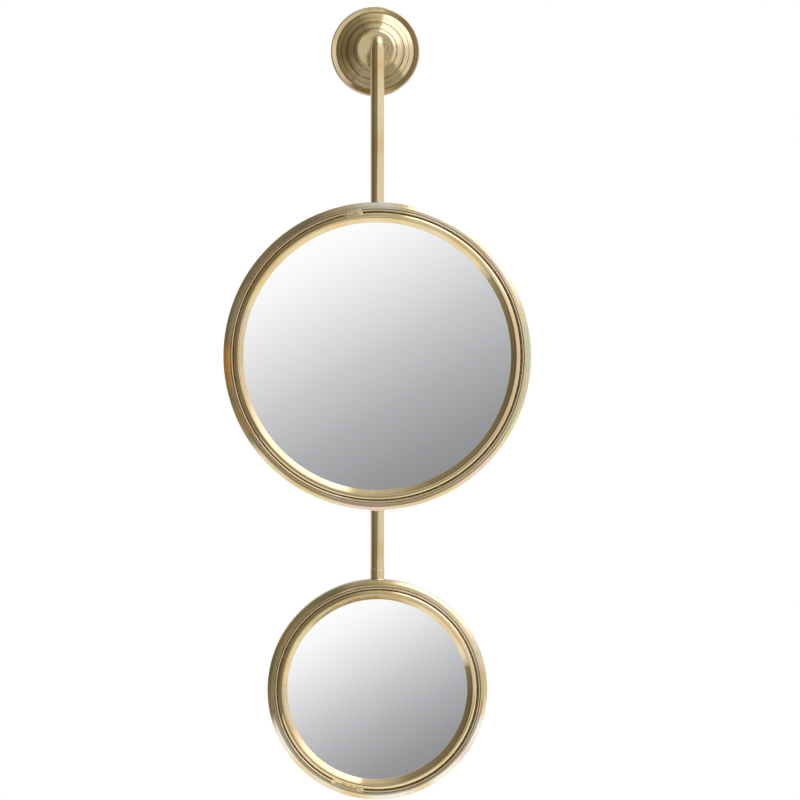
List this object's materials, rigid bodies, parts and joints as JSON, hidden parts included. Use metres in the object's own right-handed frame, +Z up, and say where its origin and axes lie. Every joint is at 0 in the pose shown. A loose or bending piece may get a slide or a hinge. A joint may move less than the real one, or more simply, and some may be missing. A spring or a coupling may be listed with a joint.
{
  "type": "extendable wall mirror",
  "caption": "Pendant wall mirror: round brass-framed mirrors under each other on a telescopic rod from a stepped wall rose; the arm swings, the rod extends, the mirrors swivel.",
  "frame": {"origin": "centre of the wall plate's screw circle, on the wall", "axes": "+Y into the wall, +Z up, +X to the right as seen from the room"},
  "size_m": [0.28, 0.0895, 0.7338],
  "materials": {
    "brass_rose": "polished, aged",
    "brass_rod": "polished, aged",
    "brass_band": "polished, patchy patina",
    "brass_bezel": "polished",
    "brass_bead": "bright polished",
    "brass_sheet": "spun, dull",
    "mirror_glass": "silvered glass",
    "felt": "pressed felt",
    "steel": "zinc plated"
  },
  "bodies": {
    "wall_mount": {"wall_plate": "steel", "rose": "brass_rose", "rose_grub_screws": "steel"},
    "arm": {"elbow_arm": "brass_rod", "pivot_front_washer": "brass_bead", "pivot_back_washer": "steel", "pivot_wave_washer": "steel", "pivot_nut": "brass_rod"},
    "extension": {"extension_tube": "brass_rod", "tube_end_plug": "brass_rod", "upper_swivel_screw": "steel", "upper_wave_washer": "steel"},
    "clamp_knob": {"clamp_screw": "brass_rod"},
    "large_mirror": {"upper_swivel_washer": "brass_bead", "large_frame_ring": "brass_band", "large_bead_ring": "brass_bead", "large_bezel": "brass_bezel", "large_glass": "mirror_glass", "large_backing_pad": "felt", "large_back_plate": "brass_sheet", "large_back_screws": "steel", "lower_rod": "brass_rod", "lower_rod_nut": "brass_rod", "lower_swivel_screw": "steel"},
    "small_mirror": {"lower_swivel_washer": "brass_bead", "lower_wave_washer": "steel", "swivel_socket": "brass_rod", "small_frame_ring": "brass_band", "small_bead_ring": "brass_bead", "small_bezel": "brass_bezel", "small_glass": "mirror_glass", "small_backing_pad": "felt", "small_back_plate": "brass_sheet", "small_back_screws": "steel"}
  },
  "joints": [
    {"name": "arm_swing", "type": "hinge", "parent": "wall_mount", "child": "arm", "pos_m": [0, 0, 0], "axis": [0, 1, 0], "range_deg": [-90, 90]},
    {"name": "arm_extend", "type": "slide", "parent": "arm", "child": "extension", "axis": [0, 0, -1], "range_m": [0, 0.08]},
    {"name": "clamp_screw_turn", "type": "hinge", "parent": "extension", "child": "clamp_knob", "pos_m": [0, -0.07, -0.018], "axis": [0, 1, 0], "range_deg": [0, 180]},
    {"name": "large_mirror_turn", "type": "hinge", "parent": "extension", "child": "large_mirror", "pos_m": [0, -0.08, -0.1485], "axis": [0, 0, 1], "range_deg": [-30, 30]},
    {"name": "small_mirror_turn", "type": "hinge", "parent": "large_mirror", "child": "small_mirror", "pos_m": [0, -0.08, -0.4826], "axis": [0, 0, 1], "range_deg": [-45, 45]}
  ]
}
